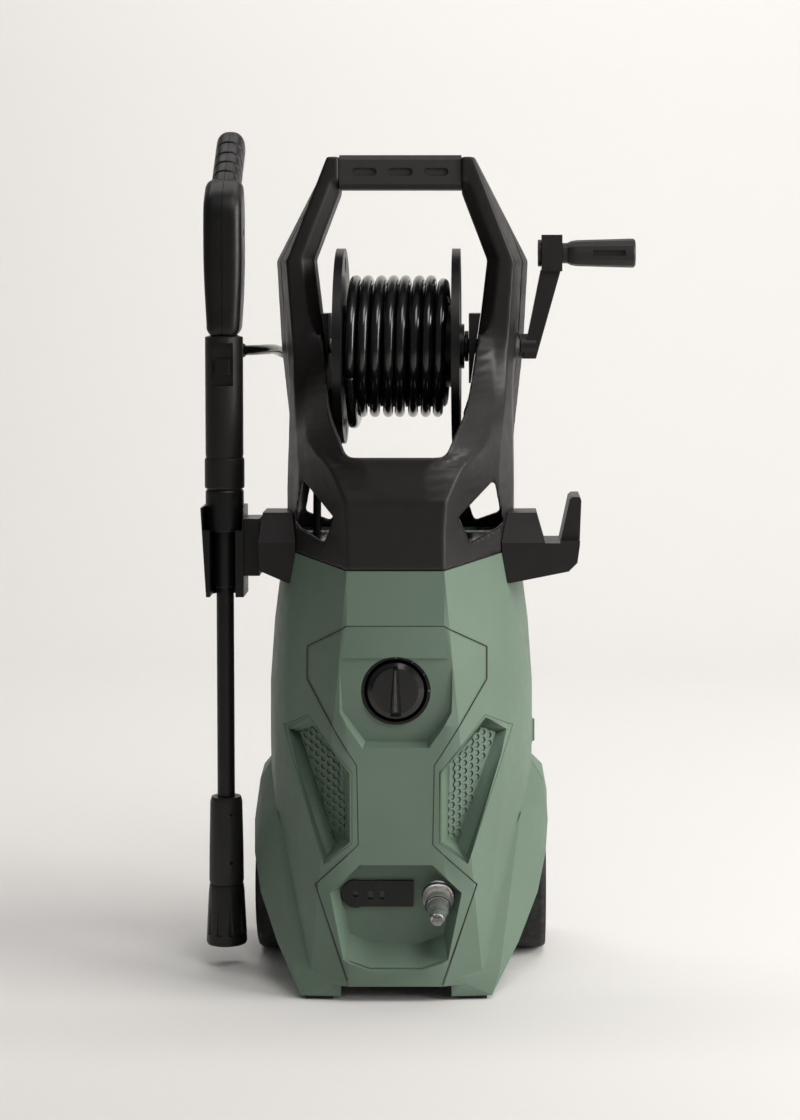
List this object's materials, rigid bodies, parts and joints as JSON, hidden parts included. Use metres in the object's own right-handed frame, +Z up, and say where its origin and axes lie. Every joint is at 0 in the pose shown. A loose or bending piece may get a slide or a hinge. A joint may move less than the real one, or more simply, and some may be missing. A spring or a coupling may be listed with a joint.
{
  "type": "electric pressure washer",
  "caption": "Upright electric pressure washer: faceted green body on two wheels, charcoal handle frame with crank hose reel, gun and lance in a side holder, cable hook, dial, clear water inlet.",
  "frame": {"origin": "on the floor under the middle of the machine box without the hose", "axes": "+X to the right seen from the front, +Y to the back, +Z up"},
  "size_m": [0.4588, 0.3367, 0.89],
  "materials": {
    "green_plastic": "fine-grained moulded plastic, satin",
    "charcoal_plastic": "fine-grained moulded plastic, satin",
    "black_plastic": "moulded plastic, satin",
    "gloss_black": "polished",
    "hose_pvc": "glossy extruded PVC",
    "rubber": "matt",
    "tyre_rubber": "matt tread",
    "steel": "turned",
    "aluminium": "cast",
    "brass": "turned",
    "clear_plastic": "clear polished plastic",
    "tank_plastic": "natural polyethylene"
  },
  "bodies": {
    "housing": {"base_tray": "black_plastic", "front_shell": "green_plastic", "rear_shell": "green_plastic", "front_panel": "green_plastic", "left_vent_insert": "green_plastic", "right_vent_insert": "green_plastic", "frame_front": "charcoal_plastic", "frame_rear": "charcoal_plastic", "top_grip": "rubber", "left_arm": "charcoal_plastic", "lance_holder": "black_plastic", "cable_hook": "charcoal_plastic", "left_bearing": "charcoal_plastic", "right_bearing": "charcoal_plastic", "reel_spigot": "brass", "hose_free_run": "hose_pvc", "supply_pipe": "black_plastic", "axle": "steel", "left_foot_pad": "rubber", "right_foot_pad": "rubber", "rotary_switch": "black_plastic", "pocket_plate": "black_plastic", "inlet_stub": "brass", "inlet_adapter": "clear_plastic", "detergent_tank": "tank_plastic", "motor": "aluminium", "fan_cowl": "black_plastic", "pump": "aluminium", "capacitor": "tank_plastic", "deck_plate": "gloss_black", "cable_gland": "black_plastic"},
    "reel": {"left_flange": "black_plastic", "right_flange": "black_plastic", "drum_core": "black_plastic", "reel_shaft": "black_plastic", "crank_arm": "charcoal_plastic", "crank_spindle": "black_plastic", "hose_winding": "hose_pvc"},
    "crank_grip": {"crank_grip": "charcoal_plastic"},
    "gun": {"gun_shell_left": "charcoal_plastic", "gun_shell_right": "charcoal_plastic", "gun_valve": "brass", "hose_fitting": "black_plastic", "lance_adapter": "charcoal_plastic", "locking_collar": "charcoal_plastic", "lower_adapter": "black_plastic", "lance_tube": "black_plastic", "nozzle_body": "charcoal_plastic"},
    "trigger": {"trigger": "black_plastic"},
    "trigger_lock": {"trigger_lock": "black_plastic"},
    "lance_slider": {"lance_slider": "black_plastic"},
    "nozzle_head": {"nozzle_head": "black_plastic"},
    "dial": {"dial_knob": "gloss_black"},
    "left_wheel": {"left_tyre": "tyre_rubber", "left_rim": "black_plastic", "left_wheel_cap": "charcoal_plastic"},
    "right_wheel": {"right_tyre": "tyre_rubber", "right_rim": "black_plastic", "right_wheel_cap": "charcoal_plastic"},
    "filler_cap": {"filler_cap": "green_plastic"}
  },
  "joints": [
    {"name": "reel_turn", "type": "hinge", "parent": "housing", "child": "reel", "pos_m": [-0.0216, 0.05575, 0.6565], "axis": [1, 0, 0], "continuous": true},
    {"name": "crank_grip_turn", "type": "hinge", "parent": "reel", "child": "crank_grip", "pos_m": [0.1884, 0.05575, 0.7565], "axis": [1, 0, 0], "continuous": true},
    {"name": "gun_lift", "type": "slide", "parent": "housing", "child": "gun", "axis": [0, 0, 1], "range_m": [0, 0.09]},
    {"name": "trigger_pull", "type": "hinge", "parent": "gun", "child": "trigger", "pos_m": [-0.2064, 0.02575, 0.786], "axis": [1, 0, 0], "range_deg": [0, 14], "stiffness_Nm_per_rad": 0.9, "springref_deg": -14.32},
    {"name": "trigger_lock_push", "type": "slide", "parent": "gun", "child": "trigger_lock", "axis": [1, 0, 0], "range_m": [0, 0.004]},
    {"name": "lance_release_slide", "type": "slide", "parent": "gun", "child": "lance_slider", "axis": [0, 0, 1], "range_m": [0, 0.012]},
    {"name": "nozzle_turn", "type": "hinge", "parent": "gun", "child": "nozzle_head", "pos_m": [-0.2064, -0.00425, 0.06], "axis": [0, 0, 1], "range_deg": [0, 90]},
    {"name": "dial_turn", "type": "hinge", "parent": "housing", "child": "dial", "pos_m": [-0.0216, -0.12425, 0.3145], "axis": [0, 1, 0], "range_deg": [0, 90]},
    {"name": "left_wheel_roll", "type": "hinge", "parent": "housing", "child": "left_wheel", "pos_m": [-0.1586, 0.07575, 0.08], "axis": [1, 0, 0], "continuous": true},
    {"name": "right_wheel_roll", "type": "hinge", "parent": "housing", "child": "right_wheel", "pos_m": [0.1154, 0.07575, 0.08], "axis": [1, 0, 0], "continuous": true},
    {"name": "filler_cap_turn", "type": "hinge", "parent": "housing", "child": "filler_cap", "pos_m": [0.1144, 0.06075, 0.24], "axis": [1, 0, 0], "range_deg": [0, 90]}
  ]
}
